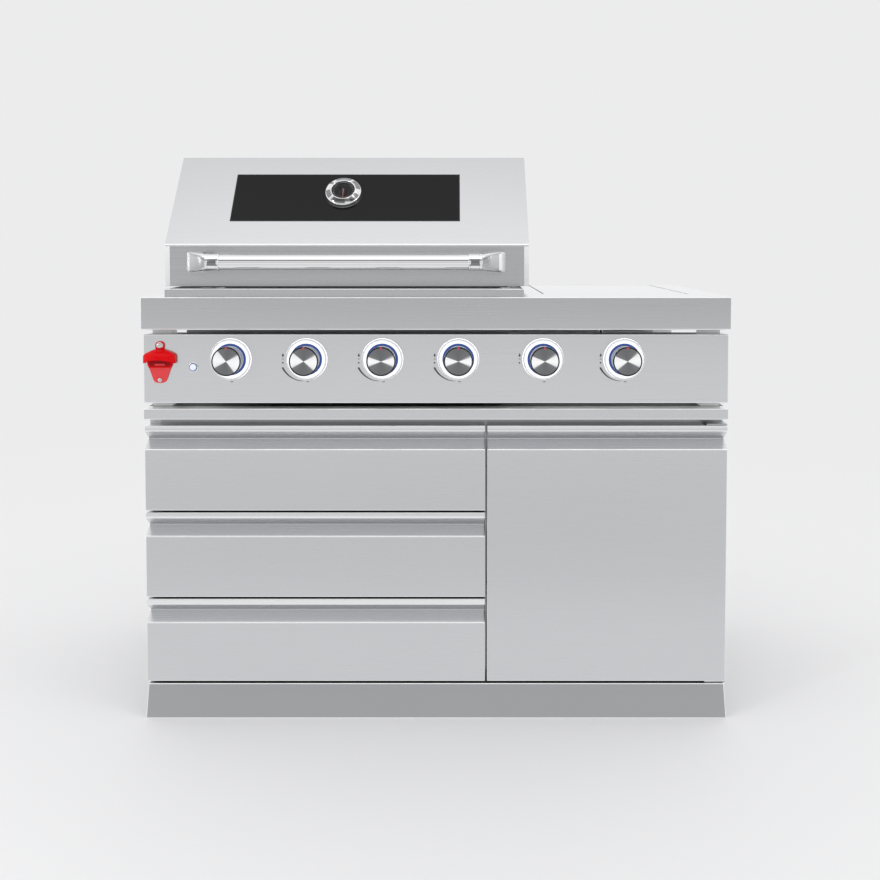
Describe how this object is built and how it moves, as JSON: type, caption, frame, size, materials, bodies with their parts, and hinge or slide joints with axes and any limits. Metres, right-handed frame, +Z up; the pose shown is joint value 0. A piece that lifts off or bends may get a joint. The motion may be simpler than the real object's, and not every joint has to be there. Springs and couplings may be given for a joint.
{
  "type": "outdoor kitchen island",
  "caption": "Free-standing stainless outdoor kitchen: gas grill with hinged windowed hood, flush side burner, lit knobs, drawers and a door over a flared plinth.",
  "frame": {"origin": "on the ground, in the middle of the whole island's width and depth", "axes": "+X to the right as the cook faces the island, -Y out of the front towards the cook, +Z up"},
  "size_m": [1.264, 0.637, 1.231],
  "materials": {
    "brushed_steel": "brushed stainless sheet",
    "cabinet_steel": "fine brushed stainless sheet, folded",
    "inner_steel": "plain mill steel inside",
    "burner_steel": "heat tinted steel",
    "chrome": "polished",
    "knob_steel": "turned face, polished side",
    "cast_iron": "matt",
    "galvanised_steel": "zinc plated",
    "brass": "turned and cast",
    "copper_feed": "drawn tube",
    "red_enamel": "gloss red on a casting",
    "black_glass": "smoked, polished",
    "clear_glass": "polished",
    "needle_paint": "painted",
    "light_diffuser": "translucent, lit",
    "catch_plastic": "moulded"
  },
  "bodies": {
    "island": {"plinth": "cabinet_steel", "cabinet_floor": "cabinet_steel", "side_panels": "cabinet_steel", "centre_divider": "cabinet_steel", "front_rail": "cabinet_steel", "deck": "cabinet_steel", "corner_posts": "cabinet_steel", "end_plates": "cabinet_steel", "rear_panel": "cabinet_steel", "worktop": "brushed_steel", "control_panel": "brushed_steel", "bottle_opener": "red_enamel", "opener_screws": "chrome", "cabinet_runners": "galvanised_steel", "door_pivots": "galvanised_steel", "door_catch": "catch_plastic", "firebox": "inner_steel", "main_burners": "burner_steel", "flame_tamers": "burner_steel", "cooking_grates": "cast_iron", "grill_frame": "brushed_steel", "rear_shroud": "inner_steel", "rear_burner": "burner_steel", "warming_rack": "chrome", "knob_bezels": "chrome", "knob_light_rings": "light_diffuser", "gas_manifold": "galvanised_steel", "gas_valves": "brass", "feed_pipes": "copper_feed", "button_bezel": "chrome", "side_burner_pan": "inner_steel", "side_burner_head": "brass", "pan_support": "cast_iron", "tray_rails": "galvanised_steel"},
    "hood": {"hood_shell": "brushed_steel", "hood_side_panels": "brushed_steel", "hood_pivot_pins": "chrome", "hood_window": "black_glass", "window_frame": "brushed_steel", "thermometer_case": "chrome", "thermometer_lens": "clear_glass", "handle_bar": "chrome", "handle_brackets": "chrome"},
    "needle": {"thermometer_needle": "needle_paint"},
    "side_burner_lid": {"side_burner_cover": "brushed_steel"},
    "drawer_1": {"drawer_1_front": "cabinet_steel", "drawer_1_box": "cabinet_steel"},
    "drawer_2": {"drawer_2_front": "cabinet_steel", "drawer_2_box": "cabinet_steel"},
    "drawer_3": {"drawer_3_front": "cabinet_steel", "drawer_3_box": "cabinet_steel"},
    "door_leaf": {"door": "cabinet_steel"},
    "knob_1": {"knob_1": "knob_steel"},
    "knob_2": {"knob_2": "knob_steel"},
    "knob_3": {"knob_3": "knob_steel"},
    "knob_4": {"knob_4": "knob_steel"},
    "knob_5": {"knob_5": "knob_steel"},
    "knob_6": {"knob_6": "knob_steel"},
    "button": {"light_button": "light_diffuser"},
    "tray": {"grease_tray": "inner_steel"}
  },
  "joints": [
    {"name": "hood_hinge", "type": "hinge", "parent": "island", "child": "hood", "pos_m": [-0.1965, 0.2135, 0.985], "axis": [-1, 0, 0], "range_deg": [0, 80]},
    {"name": "thermometer_sweep", "type": "hinge", "parent": "hood", "child": "needle", "pos_m": [-0.2135, -0.11848, 1.14307], "axis": [0, 0.7738, -0.6334], "range_deg": [0, 270]},
    {"name": "side_burner_lid_hinge", "type": "hinge", "parent": "island", "child": "side_burner_lid", "pos_m": [0.404, 0.2945, 0.91], "axis": [-1, 0, 0], "range_deg": [0, 95]},
    {"name": "drawer_1_slide", "type": "slide", "parent": "island", "child": "drawer_1", "axis": [0, -1, 0], "range_m": [0, 0.4]},
    {"name": "drawer_2_slide", "type": "slide", "parent": "island", "child": "drawer_2", "axis": [0, -1, 0], "range_m": [0, 0.4]},
    {"name": "drawer_3_slide", "type": "slide", "parent": "island", "child": "drawer_3", "axis": [0, -1, 0], "range_m": [0, 0.4]},
    {"name": "door_hinge", "type": "hinge", "parent": "island", "child": "door_leaf", "pos_m": [0.62, -0.2615, 0.35825], "axis": [0, 0, 1], "range_deg": [0, 105]},
    {"name": "knob_1_turn", "type": "hinge", "parent": "island", "child": "knob_1", "pos_m": [-0.44085, -0.2735, 0.782], "axis": [0, 1, 0], "range_deg": [-225, 0]},
    {"name": "knob_2_turn", "type": "hinge", "parent": "island", "child": "knob_2", "pos_m": [-0.27795, -0.2735, 0.782], "axis": [0, 1, 0], "range_deg": [-225, 0]},
    {"name": "knob_3_turn", "type": "hinge", "parent": "island", "child": "knob_3", "pos_m": [-0.11505, -0.2735, 0.782], "axis": [0, 1, 0], "range_deg": [-225, 0]},
    {"name": "knob_4_turn", "type": "hinge", "parent": "island", "child": "knob_4", "pos_m": [0.04785, -0.2735, 0.782], "axis": [0, 1, 0], "range_deg": [-225, 0]},
    {"name": "knob_5_turn", "type": "hinge", "parent": "island", "child": "knob_5", "pos_m": [0.23, -0.2735, 0.782], "axis": [0, 1, 0], "range_deg": [-225, 0]},
    {"name": "knob_6_turn", "type": "hinge", "parent": "island", "child": "knob_6", "pos_m": [0.404, -0.2735, 0.782], "axis": [0, 1, 0], "range_deg": [-225, 0]},
    {"name": "light_button_press", "type": "slide", "parent": "island", "child": "button", "axis": [0, 1, 0], "range_m": [0, 0.0025], "stiffness_N_per_m": 400, "springref_m": -0.001},
    {"name": "grease_tray_slide", "type": "slide", "parent": "island", "child": "tray", "axis": [0, 1, 0], "range_m": [0, 0.38]}
  ]
}
